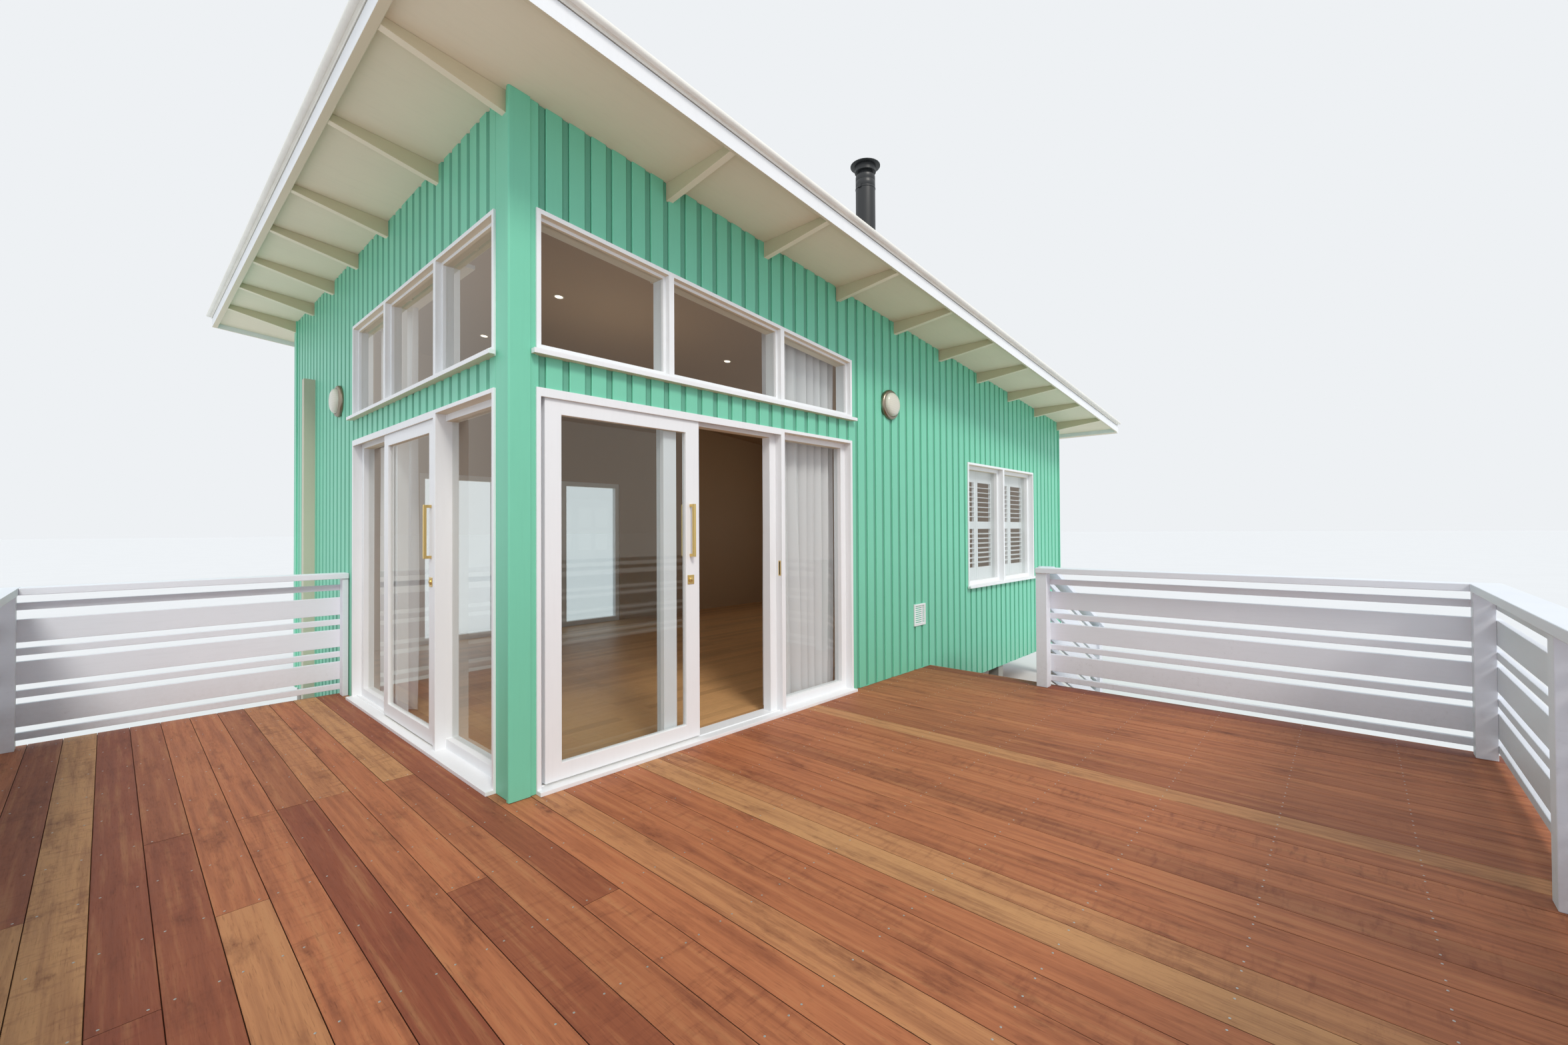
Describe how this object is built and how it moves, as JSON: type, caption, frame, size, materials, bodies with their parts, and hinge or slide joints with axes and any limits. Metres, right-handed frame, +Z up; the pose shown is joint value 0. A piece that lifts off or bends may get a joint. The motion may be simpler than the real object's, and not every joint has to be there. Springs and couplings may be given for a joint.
{
  "type": "beach house",
  "caption": "Timber beach house with a raked roof, glazed corner walls with sliding doors, and a raised timber deck with a white board balustrade and steps.",
  "frame": {"origin": "middle of the whole object's footprint box, on the ground", "axes": "+X along the front wall away from the glazed corner, +Y from the front wall towards the rear wall, +Z up"},
  "size_m": [10.515, 9.78, 5.84],
  "materials": {
    "green_cladding": "satin paint on timber boards",
    "white_trim": "satin white paint on timber",
    "clear_glass": "clear",
    "cream_paint": "satin cream paint",
    "roof_metal": "satin off-white coated sheet",
    "floor_boards": "oiled",
    "stump_concrete": "rough concrete",
    "flue_black": "satin black",
    "light_metal": "satin metal ring with frosted glass",
    "beige_paint": "satin beige paint",
    "curtain_cloth": "sheer white",
    "deck_timber": "oiled red-brown hardwood",
    "white_rail": "satin white paint on timber",
    "brass": "brushed"
  },
  "bodies": {
    "house": {"stumps": "stump_concrete", "floor": "floor_boards", "corner_pier": "green_cladding", "wall_bases": "green_cladding", "wall_bands": "green_cladding", "front_wall_head": "green_cladding", "left_wall_head": "green_cladding", "front_wall": "green_cladding", "left_wall": "green_cladding", "rear_wall": "green_cladding", "end_wall": "green_cladding", "front_door_frame": "white_trim", "left_door_frame": "white_trim", "front_window_frame": "white_trim", "left_window_frame": "white_trim", "front_glass": "clear_glass", "left_glass": "clear_glass", "small_window_frames": "white_trim", "rear_window_frame": "white_trim", "window_glass": "clear_glass", "window_shutters": "white_trim", "roof_panel": "cream_paint", "roof_sheet": "roof_metal", "fascias": "white_trim", "roof_cappings": "roof_metal", "gutter": "roof_metal", "left_rafters": "cream_paint", "front_outriggers": "cream_paint", "flue": "flue_black", "wall_lights": "light_metal", "vent_grille": "white_trim", "pipe_cover": "beige_paint", "curtain_tracks": "white_trim", "front_curtain": "curtain_cloth", "left_curtain": "curtain_cloth", "deck_bearers": "deck_timber", "deck_joists": "deck_timber", "deck_stumps": "deck_timber", "deck": "deck_timber", "rear_rail": "white_rail", "side_rail": "white_rail", "front_rail": "white_rail", "right_rail": "white_rail", "stair_rail": "white_rail", "steps": "deck_timber"},
    "front_door": {"front_door_leaf": "white_trim", "front_door_pane": "clear_glass", "front_door_pulls": "brass"},
    "left_door": {"left_door_leaf": "white_trim", "left_door_pane": "clear_glass", "left_door_pulls": "brass"}
  },
  "joints": [
    {"name": "front_door_slide", "type": "slide", "parent": "house", "child": "front_door", "axis": [1, 0, 0], "range_m": [-0.021, 0.759]},
    {"name": "left_door_slide", "type": "slide", "parent": "house", "child": "left_door", "axis": [0, 1, 0], "range_m": [0, 0.78]}
  ]
}
